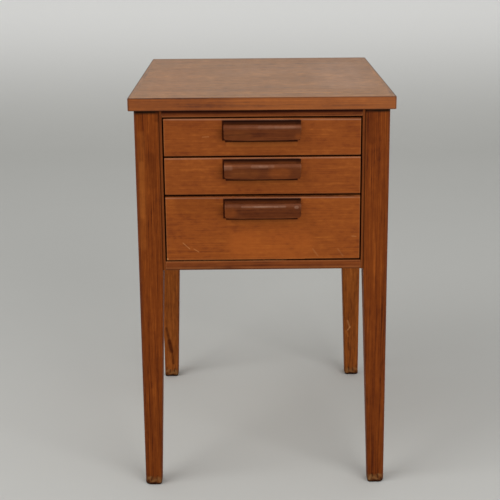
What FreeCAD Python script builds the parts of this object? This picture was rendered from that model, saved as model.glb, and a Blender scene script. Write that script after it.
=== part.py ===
"""Three-drawer wooden nightstand on four tapered legs.

Millimetres, +Z up, the drawers open towards -Y. The origin is on the floor, under the middle
of the box round the closed nightstand.
"""
import FreeCAD, Part
import math
import os

import Sketcher

Vector = FreeCAD.Vector

doc = FreeCAD.newDocument("Nightstand")

# Driving dimensions
SIZES = [
    ("overall_height", 582),
    ("top_width", 371),
    ("top_depth", 475),
    ("top_thickness", 18),
    ("top_corner_radius", 3),
    ("top_arris", 1),
    ("lipping_width", 7),
    ("side_overhang", 7),
    ("front_overhang", 3),
    ("rear_overhang", 3),
    ("leg_width", 35.5),
    ("foot_width", 24.3),
    ("leg_outer_radius", 13),
    ("foot_outer_radius", 8.5),
    ("leg_corner_radius", 2.5),
    ("foot_corner_radius", 4),
    ("foot_rounding", 3),
    ("side_thickness", 18),
    ("side_tongue", 3.6),
    ("side_setback", 1),
    ("front_setback", 1.5),
    ("rail_height", 9.4),
    ("rail_depth", 45),
    ("kicker_width", 18),
    ("bottom_thickness", 12.5),
    ("bottom_rail_depth", 25),
    ("rail_arris", 0.6),
    ("back_thickness", 5),
    ("back_inset", 3),
    ("drawer_gap", 2.2),
    ("front_thickness", 18),
    ("front_arris", 0.8),
    ("shallow_front_height", 52.9),
    ("deep_front_height", 92.9),
    ("drawer_rear_space", 21.5),
    ("drawer_side_thickness", 12),
    ("drawer_side_below", 3),
    ("drawer_side_above", 6),
    ("drawer_back_thickness", 12),
    ("back_housing", 3),
    ("drawer_bottom_thickness", 4),
    ("bottom_groove_rise", 6),
    ("bottom_groove_depth", 4),
    ("tail_length", 12),
    ("tail_spacing", 21),
    ("tail_root", 11),
    ("tail_flare", 1.8),
    ("groove_height", 9.8),
    ("groove_depth", 6.2),
    ("groove_start", 15),
    ("runner_clearance", 0.5),
    ("runner_top_clearance", 0.3),
    ("runner_stop_gap", 0.4),
    ("pull_width", 107),
    ("pull_height", 27),
    ("pull_depth", 16),
    ("upper_pull_drop", 3),
    ("middle_pull_drop", 2.6),
    ("lower_pull_drop", 4),
    ("pull_foot_depth", 10.5),
    ("pull_back_plate", 2.5),
    ("pull_lip_height", 22.6),
    ("pull_lip_thickness", 5),
    ("pull_lip_radius", 3.8),
    ("pull_groove_depth", 11),
    ("pull_bow", 1.5),
    ("pull_corner_radius", 4),
    ("pull_arris", 0.8),
    ("leg_dowel_diameter", 8),
    ("leg_dowel_length", 40),
    ("leg_dowel_inset", 50),
    ("rail_dowel_diameter", 6),
    ("rail_dowel_length", 24),
    ("runner_screw_diameter", 3.5),
    ("runner_screw_length", 20),
    ("runner_screw_inset", 30),
    ("top_screw_diameter", 4),
    ("top_screw_length", 22),
    ("top_screw_spread", 60),
    ("pull_screw_diameter", 3.5),
    ("pull_screw_length", 25),
    ("pull_screw_spread", 35),
    ("pull_screw_height", 6),
    ("nail_diameter", 1.4),
    ("nail_length", 18),
    ("nail_head_diameter", 3.6),
    ("nail_head_thickness", 0.8),
    ("nail_spread", 90),
]

# Places that follow from the driving dimensions
PLACES = [
    ("top_underside", "Sizes.overall_height - Sizes.top_thickness"),
    ("pull_reach", "Sizes.pull_depth - Sizes.front_setback - Sizes.front_overhang"),
    ("top_front", "(Places.pull_reach - Sizes.top_depth) / 2"),
    ("top_rear", "Places.top_front + Sizes.top_depth"),
    ("leg_front", "Places.top_front + Sizes.front_overhang"),
    ("leg_rear", "Places.top_rear - Sizes.rear_overhang"),
    ("leg_outer", "Sizes.top_width / 2 - Sizes.side_overhang"),
    ("leg_inner", "Places.leg_outer - Sizes.leg_width"),
    ("front_leg_back", "Places.leg_front + Sizes.leg_width"),
    ("rear_leg_front", "Places.leg_rear - Sizes.leg_width"),
    ("case_inner", "Places.leg_inner - Sizes.side_tongue"),
    ("case_outer", "Places.case_inner + Sizes.side_thickness"),
    ("case_front", "Places.leg_front + Sizes.front_setback"),
    ("back_panel_rear", "Places.leg_rear - Sizes.back_inset"),
    ("back_panel_front", "Places.back_panel_rear - Sizes.back_thickness"),
    ("rail_underside", "Places.top_underside - Sizes.rail_height"),
    ("upper_top", "Places.rail_underside - Sizes.drawer_gap"),
    ("upper_bottom", "Places.upper_top - Sizes.shallow_front_height"),
    ("middle_top", "Places.upper_bottom - Sizes.drawer_gap"),
    ("middle_bottom", "Places.middle_top - Sizes.shallow_front_height"),
    ("lower_top", "Places.middle_bottom - Sizes.drawer_gap"),
    ("lower_bottom", "Places.lower_top - Sizes.deep_front_height"),
    ("case_floor", "Places.lower_bottom - Sizes.drawer_gap"),
    ("case_bottom", "Places.case_floor - Sizes.bottom_thickness"),
    ("drawer_half_width", "Places.case_inner - Sizes.drawer_gap"),
    ("drawer_inner", "Places.drawer_half_width - Sizes.drawer_side_thickness"),
    ("front_back", "Places.case_front + Sizes.front_thickness"),
    ("drawer_rear", "Places.back_panel_front - Sizes.drawer_rear_space"),
    ("groove_front", "Places.front_back + Sizes.groove_start"),
    ("runner_front", "Places.groove_front + Sizes.runner_stop_gap"),
    ("runner_inner", "Places.drawer_half_width - Sizes.groove_depth + Sizes.runner_clearance"),
]


def fill_sheet(name, rows, as_text):
    """A spreadsheet with one named cell in each row."""
    sheet = doc.addObject("Spreadsheet::Sheet", name)
    for row, (alias, content) in enumerate(rows, start=1):
        sheet.set(f"A{row}", alias.replace("_", " "))
        sheet.set(f"B{row}", as_text(content))
        sheet.setAlias(f"B{row}", alias)
    return sheet


sizes = fill_sheet("Sizes", SIZES, str)
places = fill_sheet("Places", PLACES, lambda formula: "=" + formula)
doc.recompute()


# Two coordinates closer than this are the same
SAME_PLACE = 0.01


def value(expression):
    """The number that an expression has now."""
    return float(sizes.evalExpression(str(expression)))


def position(obj, x="0", y="0", z="0"):
    """Ties an object's place to three expressions."""
    for axis, expression in (("x", x), ("y", y), ("z", z)):
        obj.setExpression(f"Placement.Base.{axis}", str(expression))


def mirrored_span(side, inner, outer):
    """The span from inner to outer on the right (side 1) or, mirrored, on the left (side -1)."""
    if side > 0:
        return inner, outer
    return f"-({outer})", f"-({inner})"


def board(label, x_span, y_span, z_span):
    """A square-edged board between three pairs of expressions."""
    box = doc.addObject("Part::Box", label)
    spans = (("Length", x_span), ("Width", y_span), ("Height", z_span))
    for side, (start, end) in spans:
        box.setExpression(side, f"({end}) - ({start})")
    position(box, x_span[0], y_span[0], z_span[0])
    return box


def arc_between(start, end, radius):
    """The short arc from start to end, to the left of the chord if the radius is positive."""
    chord = end - start
    rise = math.sqrt(max(radius * radius - chord.Length ** 2 / 4, 0))
    normal = Vector(-chord.y, chord.x, 0).normalize()
    centre = (start + end) * 0.5 + normal * math.copysign(rise, radius)
    first, last = (start, end) if radius > 0 else (end, start)
    angles = [math.atan2(p.y - centre.y, p.x - centre.x) for p in (first, last)]
    circle = Part.Circle(centre, Vector(0, 0, 1), abs(radius))
    return Part.ArcOfCircle(circle, angles[0], angles[1])


def draw_outline(sketch, points):
    """Draws one closed outline and ties each corner, and each arc's radius, to expressions.

    A point is (across, up), or (across, up, radius) where an arc leads to it from the point
    before: counter-clockwise for "+radius" and clockwise for "-radius".
    """
    spots = [Vector(value(p[0]), value(p[1]), 0) for p in points]
    starts = []
    ends = []
    for index, start in enumerate(spots):
        following = (index + 1) % len(points)
        end = spots[following]
        if len(points[following]) == 3:
            radius = value(points[following][2])
            edge = sketch.addGeometry(arc_between(start, end, radius), False)
            limit = f"abs({points[following][2]})"
            tied = sketch.addConstraint(Sketcher.Constraint("Radius", edge, abs(radius)))
            sketch.setExpression(f"Constraints[{tied}]", limit)
            starts.append((edge, 1 if radius > 0 else 2))
            ends.append((edge, 2 if radius > 0 else 1))
        else:
            edge = sketch.addGeometry(Part.LineSegment(start, end), False)
            starts.append((edge, 1))
            ends.append((edge, 2))
    for index, (across, up) in enumerate(p[:2] for p in points):
        sketch.addConstraint(Sketcher.Constraint("Coincident", *ends[index - 1], *starts[index]))
        for kind, expression in (("DistanceX", across), ("DistanceY", up)):
            number = value(expression)
            tied = sketch.addConstraint(Sketcher.Constraint(kind, *starts[index], number))
            sketch.setExpression(f"Constraints[{tied}]", str(expression))


def new_sketch(body, name, plane, *outlines, offset="0"):
    """A sketch on one of the body's own origin planes, moved along the plane's normal."""
    sketch = body.newObject("Sketcher::SketchObject", f"{body.Name}_{name}")
    origin_plane = next(o for o in body.Origin.OriginFeatures if o.Role == plane)
    sketch.AttachmentSupport = [(origin_plane, "")]
    sketch.MapMode = "FlatFace"
    sketch.setExpression("AttachmentOffset.Base.z", str(offset))
    for points in outlines:
        draw_outline(sketch, points)
    return sketch


def pad(body, sketch, length):
    """Pads a sketch by a length and brings the body up to date."""
    feature = body.newObject("PartDesign::Pad", f"{body.Name}_pad")
    feature.Profile = sketch
    feature.setExpression("Length", str(length))
    body.recompute(True)
    return feature


def pocket_through(body, sketch):
    """Cuts a sketch right through the body, to both sides of its plane."""
    before = body.Shape.Volume
    feature = body.newObject("PartDesign::Pocket", f"{body.Name}_pocket")
    feature.Profile = sketch
    feature.Type = "ThroughAll"
    feature.SideType = "Symmetric"
    body.recompute(True)
    if body.Shape.Volume >= before:
        raise RuntimeError(f"{feature.Name} cuts nothing")
    return feature


def round_edges(body, radius, chosen):
    """Rounds the edges of the body's tip that the function chosen picks."""
    tip = body.Tip
    names = [f"Edge{n}" for n, edge in enumerate(tip.Shape.Edges, start=1) if chosen(edge)]
    if not names:
        raise RuntimeError(f"no edge of {body.Name} to round")
    feature = body.newObject("PartDesign::Fillet", f"{body.Name}_fillet")
    feature.Base = (tip, names)
    feature.setExpression("Radius", str(radius))
    body.recompute(True)
    return feature


def lies_at(edge, axis, expression):
    """True for an edge that lies in the plane where the axis has this value."""
    place = value(expression)
    spots = [v.Point for v in edge.Vertexes]
    spots.append(edge.valueAt((edge.FirstParameter + edge.LastParameter) / 2))
    return all(abs(getattr(p, axis) - place) < SAME_PLACE for p in spots)


def joined(name, pieces):
    """Several solids as one group."""
    group = doc.addObject("Part::Compound", name)
    group.Links = pieces
    return group


def without(label, piece, *tools):
    """The piece with the places cut out that the tools take up."""
    cut = doc.addObject("Part::Cut", label)
    cut.Base = piece
    cut.Tool = tools[0] if len(tools) == 1 else joined(f"{label}_tools", list(tools))
    return cut


def rounded_corners(corners):
    """Outline points of a right-angled shape whose corners are (across, up, radius)."""
    points = []
    for index, (across, up, radius) in enumerate(corners):
        previous = corners[index - 1]
        following = corners[(index + 1) % len(corners)]
        pair = []
        for other in (previous, following):
            shift_across = (value(other[0]) > value(across)) - (value(other[0]) < value(across))
            shift_up = (value(other[1]) > value(up)) - (value(other[1]) < value(up))
            pair.append((f"{across} + {shift_across} * {radius}", f"{up} + {shift_up} * {radius}"))
        arriving = Vector(value(across) - value(previous[0]), value(up) - value(previous[1]), 0)
        leaving = Vector(value(following[0]) - value(across), value(following[1]) - value(up), 0)
        turn = "" if arriving.cross(leaving).z > 0 else "-"
        points.append(pair[0])
        points.append(pair[1] + (f"{turn}{radius}",))
    return points


# Fasteners: one master of each kind, and copies of it

def turned_master(name, points):
    """A fastener turned about Z, its head at the origin and its shank towards -Z."""
    body = doc.addObject("PartDesign::Body", name)
    sketch = new_sketch(body, "profile", "XZ_Plane", points)
    feature = body.newObject("PartDesign::Revolution", f"{name}_turning")
    feature.Profile = sketch
    feature.ReferenceAxis = (sketch, ["V_Axis"])
    feature.Angle = 360
    body.recompute(True)
    return body


def screw_master(name, diameter, length):
    """A countersunk wood screw: head twice the shank's width, point as long as it is thick."""
    return turned_master(name, [
        ("0", "0"),
        (diameter, "0"),
        (f"{diameter} / 2", f"-{diameter} / 2"),
        (f"{diameter} / 2", f"-({length}) + {diameter}"),
        ("0", f"-({length})"),
    ])


def dowel_master(name, diameter, length):
    """A plain dowel, centred on the origin."""
    return turned_master(name, [
        ("0", f"{length} / 2"),
        (f"{diameter} / 2", f"{length} / 2"),
        (f"{diameter} / 2", f"-{length} / 2"),
        ("0", f"-{length} / 2"),
    ])


SHANK_TOWARDS = {
    "+X": FreeCAD.Rotation(Vector(0, 1, 0), -90),
    "-X": FreeCAD.Rotation(Vector(0, 1, 0), 90),
    "+Y": FreeCAD.Rotation(Vector(1, 0, 0), 90),
    "-Y": FreeCAD.Rotation(Vector(1, 0, 0), -90),
    "+Z": FreeCAD.Rotation(Vector(1, 0, 0), 180),
}


def copies(label, master, spots):
    """Copies of a master in one group: each spot is its direction and three expressions."""
    links = []
    for number, (direction, x, y, z) in enumerate(spots, start=1):
        link = doc.addObject("App::Link", f"{label}_{number}")
        link.LinkedObject = master
        link.Placement = FreeCAD.Placement(Vector(), SHANK_TOWARDS[direction])
        position(link, x, y, z)
        links.append(link)
    return joined(label, links)


leg_dowel = dowel_master("leg_dowel_master", "Sizes.leg_dowel_diameter", "Sizes.leg_dowel_length")
rail_dowel = dowel_master(
    "rail_dowel_master", "Sizes.rail_dowel_diameter", "Sizes.rail_dowel_length")
runner_screw = screw_master(
    "runner_screw_master", "Sizes.runner_screw_diameter", "Sizes.runner_screw_length")
top_screw = screw_master("top_screw_master", "Sizes.top_screw_diameter", "Sizes.top_screw_length")
pull_screw = screw_master(
    "pull_screw_master", "Sizes.pull_screw_diameter", "Sizes.pull_screw_length")
nail = turned_master("nail_master", [
    ("0", "0"),
    ("Sizes.nail_head_diameter / 2", "0"),
    ("Sizes.nail_head_diameter / 2", "-Sizes.nail_head_thickness"),
    ("Sizes.nail_diameter / 2", "-Sizes.nail_head_thickness"),
    ("Sizes.nail_diameter / 2", "-Sizes.nail_length + Sizes.nail_diameter"),
    ("0", "-Sizes.nail_length"),
])

LEFT, RIGHT = -1, 1
FRONT, REAR = -1, 1
SIDES = (("left", LEFT), ("right", RIGHT))
ENDS = (("front", FRONT), ("rear", REAR))

leg_joint_x = "(Places.leg_inner + Places.case_outer) / 2"
leg_joint_y = {FRONT: "Places.front_leg_back", REAR: "Places.rear_leg_front"}
leg_joint_heights = (
    "Places.case_bottom + Sizes.leg_dowel_inset",
    "(Places.case_bottom + Places.top_underside) / 2",
    "Places.top_underside - Sizes.leg_dowel_inset",
)
leg_dowels = copies("leg_dowels", leg_dowel, [
    ("+Y", f"{side} * {leg_joint_x}", leg_joint_y[end], height)
    for _, side in SIDES for _, end in ENDS for height in leg_joint_heights
])

rail_middle = "Places.top_underside - Sizes.rail_height / 2"
bottom_middle = "Places.case_floor - Sizes.bottom_thickness / 2"
rail_dowel_spots = (
    ("Places.case_front + Sizes.rail_depth / 2", rail_middle),
    ("Places.back_panel_front - Sizes.rail_depth / 2", rail_middle),
    ("Places.case_front + Sizes.bottom_rail_depth / 2", bottom_middle),
    ("Places.front_leg_back + Sizes.leg_dowel_inset", bottom_middle),
    ("(Places.front_leg_back + Places.rear_leg_front) / 2", bottom_middle),
    ("Places.rear_leg_front - Sizes.leg_dowel_inset", bottom_middle),
)
rail_dowels = copies("rail_dowels", rail_dowel, [
    ("+X", f"{side} * Places.case_inner", y, z) for _, side in SIDES for y, z in rail_dowel_spots
])


# The drawers: name, bottom and top of the front
DRAWERS = (
    ("upper", "Places.upper_bottom", "Places.upper_top"),
    ("middle", "Places.middle_bottom", "Places.middle_top"),
    ("lower", "Places.lower_bottom", "Places.lower_top"),
)


def side_span(bottom, top):
    """Bottom and top of a drawer's sides, from those of its front."""
    return f"({bottom} + Sizes.drawer_side_below)", f"({top} - Sizes.drawer_side_above)"


def side_middle(bottom, top):
    """Half the height of a drawer's sides, where the groove and the runner lie."""
    low, high = side_span(bottom, top)
    return f"(({low} + {high}) / 2)"


def runner_screw_spots():
    """Three screws in each of the six runners."""
    spots = []
    along = (
        "Places.runner_front + Sizes.runner_screw_inset",
        "(Places.runner_front + Places.drawer_rear) / 2",
        "Places.drawer_rear - Sizes.runner_screw_inset",
    )
    for _, bottom, top in DRAWERS:
        for _, side in SIDES:
            direction = "+X" if side == RIGHT else "-X"
            for y in along:
                x = f"{side} * Places.runner_inner"
                spots.append((direction, x, y, side_middle(bottom, top)))
    return spots


runner_screws = copies("runner_screws", runner_screw, runner_screw_spots())

kicker_middle = "(Places.case_inner - Sizes.kicker_width / 2)"
kicker_front = "(Places.case_front + Sizes.rail_depth)"
kicker_rear = "(Places.back_panel_front - Sizes.rail_depth)"
top_screws = copies("top_screws", top_screw, [
    ("+Z", f"{side} * {x}", y, "Places.rail_underside")
    for _, side in SIDES
    for x, y in (
        ("Sizes.top_screw_spread", "Places.case_front + Sizes.rail_depth / 2"),
        (kicker_middle, f"{kicker_front} + Sizes.top_screw_spread"),
        (kicker_middle, f"{kicker_rear} - Sizes.top_screw_spread"),
        ("Sizes.top_screw_spread", "Places.back_panel_front - Sizes.rail_depth / 2"),
    )
])

back_panel_nails = copies("back_panel_nails", nail, [
    ("-Y", f"{step} * Sizes.nail_spread", "Places.back_panel_rear", height)
    for step in (-1, 0, 1) for height in (rail_middle, bottom_middle)
])


# The top: a board with a mitred lipping on each edge

board_half_width = "Sizes.top_width / 2 - Sizes.lipping_width"
raw_top_board = board(
    "top_board_blank",
    (f"-({board_half_width})", board_half_width),
    ("Places.top_front + Sizes.lipping_width", "Places.top_rear - Sizes.lipping_width"),
    ("Places.top_underside", "Sizes.overall_height"),
)
top_board = without("top_board", raw_top_board, top_screws)


def lipping(label, turn, length, x, y):
    """One lipping: drawn as the front one, its outer edge along X, then turned and placed."""
    body = doc.addObject("PartDesign::Body", label)
    half = f"({length} / 2)"
    radius = "Sizes.top_corner_radius"
    width = "Sizes.lipping_width"
    mitre_start = f"{radius} * (1 - cos(45))"
    outline = [
        (f"-{half} + {radius}", "0", radius),
        (f"{half} - {radius}", "0"),
        (f"{half} - {mitre_start}", mitre_start, radius),
        (f"{half} - {width}", width),
        (f"-{half} + {width}", width),
        (f"-{half} + {mitre_start}", mitre_start),
    ]
    sketch = new_sketch(body, "outline", "XY_Plane", outline)
    pad(body, sketch, "Sizes.top_thickness")
    lip_width = value(width)

    def outside(edge):
        faces_up_or_down = lies_at(edge, "z", "0") or lies_at(edge, "z", "Sizes.top_thickness")
        return faces_up_or_down and all(v.Y < lip_width - SAME_PLACE for v in edge.Vertexes)

    round_edges(body, "Sizes.top_arris", outside)
    body.Placement = FreeCAD.Placement(Vector(), FreeCAD.Rotation(Vector(0, 0, 1), turn))
    position(body, x, y, "Places.top_underside")
    return body


top_middle_y = "(Places.top_front + Places.top_rear) / 2"
lippings = [
    lipping("top_lipping_front", 0, "Sizes.top_width", "0", "Places.top_front"),
    lipping("top_lipping_right", 90, "Sizes.top_depth", "Sizes.top_width / 2", top_middle_y),
    lipping("top_lipping_back", 180, "Sizes.top_width", "0", "Places.top_rear"),
    lipping("top_lipping_left", 270, "Sizes.top_depth", "-Sizes.top_width / 2", top_middle_y),
]


# The legs: square in the case, tapered on their two inner faces below it

def leg_section(side, end, width, outer_radius, corner_radius):
    """The leg's outline, its outer corner fixed and its two inner faces at the given width."""
    outer_x = f"{side} * Places.leg_outer"
    outer_y = "Places.leg_front" if end == FRONT else "Places.leg_rear"
    inner_x = f"{outer_x} - {side} * {width}"
    inner_y = f"{outer_y} - {end} * {width}"
    return rounded_corners([
        (outer_x, outer_y, outer_radius),
        (inner_x, outer_y, corner_radius),
        (inner_x, inner_y, corner_radius),
        (outer_x, inner_y, corner_radius),
    ])


def leg(label, side, end):
    """One leg, from the floor to the underside of the top."""
    body = doc.addObject("PartDesign::Body", f"{label}_blank")
    wide = ("Sizes.leg_width", "Sizes.leg_outer_radius", "Sizes.leg_corner_radius")
    narrow = ("Sizes.foot_width", "Sizes.foot_outer_radius", "Sizes.foot_corner_radius")
    shoulder = new_sketch(
        body, "shoulder", "XY_Plane", leg_section(side, end, *wide), offset="Places.case_bottom")
    pad(body, shoulder, "Places.top_underside - Places.case_bottom")
    foot = new_sketch(body, "foot", "XY_Plane", leg_section(side, end, *narrow))
    taper_start = new_sketch(
        body, "taper", "XY_Plane", leg_section(side, end, *wide), offset="Places.case_bottom")
    loft = body.newObject("PartDesign::AdditiveLoft", f"{body.Name}_taper_loft")
    loft.Profile = foot
    loft.Sections = [taper_start]
    loft.Ruled = True
    body.recompute(True)
    round_edges(body, "Sizes.foot_rounding", lambda e: lies_at(e, "z", "0"))
    return without(label, body, leg_dowels, rail_dowels)


legs = [
    leg(f"leg_{end_name}_{side_name}", side, end)
    for end_name, end in ENDS for side_name, side in SIDES
]


# The case

def side_panel(label, side):
    """A side between the legs, with a tongue on its inner face that covers the legs."""
    body = doc.addObject("PartDesign::Body", f"{label}_blank")
    inner, tongue, outer = (
        f"{side} * Places.{name}" for name in ("case_inner", "leg_inner", "case_outer"))
    tongue_front = "Places.leg_front + Sizes.side_setback"
    outline = [
        (inner, tongue_front),
        (tongue, tongue_front),
        (tongue, "Places.front_leg_back"),
        (outer, "Places.front_leg_back"),
        (outer, "Places.rear_leg_front"),
        (tongue, "Places.rear_leg_front"),
        (tongue, "Places.back_panel_front"),
        (inner, "Places.back_panel_front"),
    ]
    sketch = new_sketch(body, "outline", "XY_Plane", outline, offset="Places.case_bottom")
    pad(body, sketch, "Places.top_underside - Places.case_bottom")
    return without(label, body, leg_dowels, rail_dowels, runner_screws)


side_panels = [side_panel(f"side_panel_{name}", side) for name, side in SIDES]


def eased_board(label, x_span, y_span, z_span, arris):
    """A board whose front face has its four edges eased."""
    body = doc.addObject("PartDesign::Body", label)
    sketch = new_sketch(body, "outline", "XY_Plane", [
        (x_span[0], y_span[0]),
        (x_span[1], y_span[0]),
        (x_span[1], y_span[1]),
        (x_span[0], y_span[1]),
    ], offset=z_span[0])
    pad(body, sketch, f"({z_span[1]}) - ({z_span[0]})")
    round_edges(body, arris, lambda e: lies_at(e, "y", y_span[0]))
    return body


case_span = ("-Places.case_inner", "Places.case_inner")
rail_span = ("Places.rail_underside", "Places.top_underside")
bottom_span = ("Places.case_bottom", "Places.case_floor")
bottom_rail_rear = "Places.case_front + Sizes.bottom_rail_depth"

top_front_rail = without(
    "top_front_rail",
    eased_board("top_front_rail_blank", case_span, ("Places.case_front", kicker_front),
                rail_span, "Sizes.rail_arris"),
    rail_dowels, top_screws)
top_rear_rail = without(
    "top_rear_rail",
    board("top_rear_rail_blank", case_span, (kicker_rear, "Places.back_panel_front"), rail_span),
    rail_dowels, top_screws, back_panel_nails)
bottom_front_rail = without(
    "bottom_front_rail",
    eased_board("bottom_front_rail_blank", case_span, ("Places.case_front", bottom_rail_rear),
                bottom_span, "Sizes.rail_arris"),
    rail_dowels)
bottom_panel = without(
    "bottom_panel",
    board("bottom_panel_blank", case_span, (bottom_rail_rear, "Places.back_panel_front"),
          bottom_span),
    rail_dowels, back_panel_nails)
back_panel = without(
    "back_panel",
    board("back_panel_blank", ("-Places.leg_inner", "Places.leg_inner"),
          ("Places.back_panel_front", "Places.back_panel_rear"),
          ("Places.case_bottom", "Places.top_underside")),
    back_panel_nails)


def kicker(label, side):
    """A strip under the top, along a side, that the top is screwed to."""
    inner = "Places.case_inner - Sizes.kicker_width"
    x_span = mirrored_span(side, inner, "Places.case_inner")
    blank = board(f"{label}_blank", x_span, (kicker_front, kicker_rear), rail_span)
    return without(label, blank, top_screws)


kickers = [kicker(f"kicker_{name}", side) for name, side in SIDES]


def runner(label, side, bottom, top):
    """The strip on a side panel that a drawer's groove slides on."""
    x_span = mirrored_span(side, "Places.runner_inner", "Places.case_inner")
    middle = side_middle(bottom, top)
    low = f"{middle} - Sizes.groove_height / 2 + Sizes.runner_clearance"
    high = f"{middle} + Sizes.groove_height / 2 - Sizes.runner_top_clearance"
    blank = board(f"{label}_blank", x_span, ("Places.runner_front", "Places.drawer_rear"),
                  (low, high))
    return without(label, blank, runner_screws)


runners = [
    runner(f"{name}_runner_{side_name}", side, bottom, top)
    for name, bottom, top in DRAWERS for side_name, side in SIDES
]


# The drawers

def drawer_side_outline(bottom, top):
    """A drawer side seen from its end of the nightstand, with its tails at the front."""
    low, high = side_span(bottom, top)
    tail_count = max(1, round(value(f"({high} - {low}) / Sizes.tail_spacing")))
    points = [("Places.drawer_rear", low), ("Places.drawer_rear", high)]
    points.append(("Places.front_back", high))
    tip = "Places.front_back - Sizes.tail_length"
    for number in reversed(range(tail_count)):
        centre = f"{low} + ({high} - {low}) * {(number + 0.5) / tail_count}"
        root_half = "Sizes.tail_root / 2"
        tip_half = "(Sizes.tail_root / 2 + Sizes.tail_flare)"
        points.append(("Places.front_back", f"{centre} + {root_half}"))
        points.append((tip, f"{centre} + {tip_half}"))
        points.append((tip, f"{centre} - {tip_half}"))
        points.append(("Places.front_back", f"{centre} - {root_half}"))
    points.append(("Places.front_back", low))
    return points


def drawer_side_blank(label, side, bottom, top):
    """A drawer side with its tails and the groove that takes the runner."""
    body = doc.addObject("PartDesign::Body", f"{label}_blank")
    x_span = mirrored_span(side, "Places.drawer_inner", "Places.drawer_half_width")
    outline = drawer_side_outline(bottom, top)
    sketch = new_sketch(body, "outline", "YZ_Plane", outline, offset=x_span[0])
    pad(body, sketch, "Sizes.drawer_side_thickness")
    middle = side_middle(bottom, top)
    groove_bottom = "Places.drawer_half_width - Sizes.groove_depth"
    groove = board(
        f"{label}_groove",
        mirrored_span(side, groove_bottom, "Places.drawer_half_width"),
        ("Places.groove_front", "Places.drawer_rear"),
        (f"{middle} - Sizes.groove_height / 2", f"{middle} + Sizes.groove_height / 2"),
    )
    return without(f"{label}_grooved", body, groove)


def pull_blank(label):
    """A pull with its back at y 0: a bowed block, a sloping face and a groove behind the lip."""
    body = doc.addObject("PartDesign::Body", f"{label}_blank")
    half = "(Sizes.pull_width / 2)"
    radius = "Sizes.pull_corner_radius"
    bow = "Sizes.pull_bow"
    half_chord = f"({half} - {radius})"
    bow_radius = f"({half_chord}^2 + {bow}^2) / (2 * {bow})"
    front_view = [
        (f"-{half}", "Sizes.pull_height"),
        (f"-{half}", f"{bow} + {radius}"),
        (f"-{half_chord}", bow, radius),
        (half_chord, bow, bow_radius),
        (half, f"{bow} + {radius}", radius),
        (half, "Sizes.pull_height"),
    ]
    block = new_sketch(body, "front_view", "XZ_Plane", front_view)
    pad(body, block, "Sizes.pull_depth")

    shoulder = "Sizes.pull_lip_height - Sizes.pull_lip_radius"
    face_waste = [
        ("-Sizes.pull_foot_depth", "0"),
        ("-Sizes.pull_depth", shoulder),
        ("-Sizes.pull_depth", "0"),
    ]
    pocket_through(body, new_sketch(body, "face", "YZ_Plane", face_waste))

    lip_inner = "-(Sizes.pull_depth - Sizes.pull_lip_thickness)"
    scoop_radius = "((Sizes.pull_depth - Sizes.pull_lip_thickness - Sizes.pull_back_plate) / 2)"
    scoop_height = f"Sizes.pull_lip_height - Sizes.pull_groove_depth + {scoop_radius}"
    groove_waste = [
        ("-Sizes.pull_back_plate", "Sizes.pull_height"),
        ("-Sizes.pull_depth", "Sizes.pull_height"),
        ("-Sizes.pull_depth", shoulder),
        ("-Sizes.pull_depth + Sizes.pull_lip_radius", "Sizes.pull_lip_height",
         "-Sizes.pull_lip_radius"),
        (f"{lip_inner} - Sizes.pull_arris", "Sizes.pull_lip_height"),
        (lip_inner, "Sizes.pull_lip_height - Sizes.pull_arris", "-Sizes.pull_arris"),
        (lip_inner, scoop_height),
        (f"{lip_inner} + {scoop_radius}", f"{scoop_height} - {scoop_radius}", scoop_radius),
        ("-Sizes.pull_back_plate", scoop_height, scoop_radius),
    ]
    pocket_through(body, new_sketch(body, "groove", "YZ_Plane", groove_waste))
    return body


def drawer(name, bottom, top):
    """All the pieces of one drawer."""
    low, high = side_span(bottom, top)
    bottom_top = f"{low} + Sizes.bottom_groove_rise + Sizes.drawer_bottom_thickness"
    panel_half = "(Places.drawer_inner + Sizes.bottom_groove_depth)"
    panel = board(
        f"{name}_drawer_bottom_blank",
        (f"-{panel_half}", panel_half),
        ("Places.front_back - Sizes.bottom_groove_depth", "Places.drawer_rear"),
        (f"{low} + Sizes.bottom_groove_rise", bottom_top),
    )
    back_half = "(Places.drawer_inner + Sizes.back_housing)"
    back = board(
        f"{name}_drawer_back_blank",
        (f"-{back_half}", back_half),
        ("Places.drawer_rear - Sizes.drawer_back_thickness", "Places.drawer_rear"),
        (bottom_top, high),
    )
    bottom_nails = copies(f"{name}_bottom_nails", nail, [
        ("+Z", f"{step} * Sizes.nail_spread",
         "Places.drawer_rear - Sizes.drawer_back_thickness / 2",
         f"{low} + Sizes.bottom_groove_rise")
        for step in (-1, 0, 1)
    ])
    pull_foot = f"{top} - Sizes.{name}_pull_drop - Sizes.pull_height"
    pull_screws = copies(f"{name}_pull_screws", pull_screw, [
        ("-Y", f"{side} * Sizes.pull_screw_spread", "Places.front_back",
         f"{pull_foot} + Sizes.pull_screw_height")
        for _, side in SIDES
    ])
    grip = pull_blank(f"{name}_pull")
    position(grip, "0", "Places.case_front", pull_foot)
    sides = [
        drawer_side_blank(f"{name}_drawer_side_{side_name}", side, bottom, top)
        for side_name, side in SIDES
    ]
    front = eased_board(
        f"{name}_drawer_front_blank",
        ("-Places.drawer_half_width", "Places.drawer_half_width"),
        ("Places.case_front", "Places.front_back"),
        (bottom, top),
        "Sizes.front_arris",
    )
    return [
        without(f"{name}_drawer_front", front, sides[0], sides[1], panel, pull_screws),
        without(f"{name}_drawer_side_left", sides[0], panel, back),
        without(f"{name}_drawer_side_right", sides[1], panel, back),
        without(f"{name}_drawer_back", back, bottom_nails),
        without(f"{name}_drawer_bottom", panel, bottom_nails),
        without(f"{name}_pull", grip, pull_screws),
        pull_screws,
        bottom_nails,
    ]


drawer_pieces = [piece for one in DRAWERS for piece in drawer(*one)]

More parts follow.
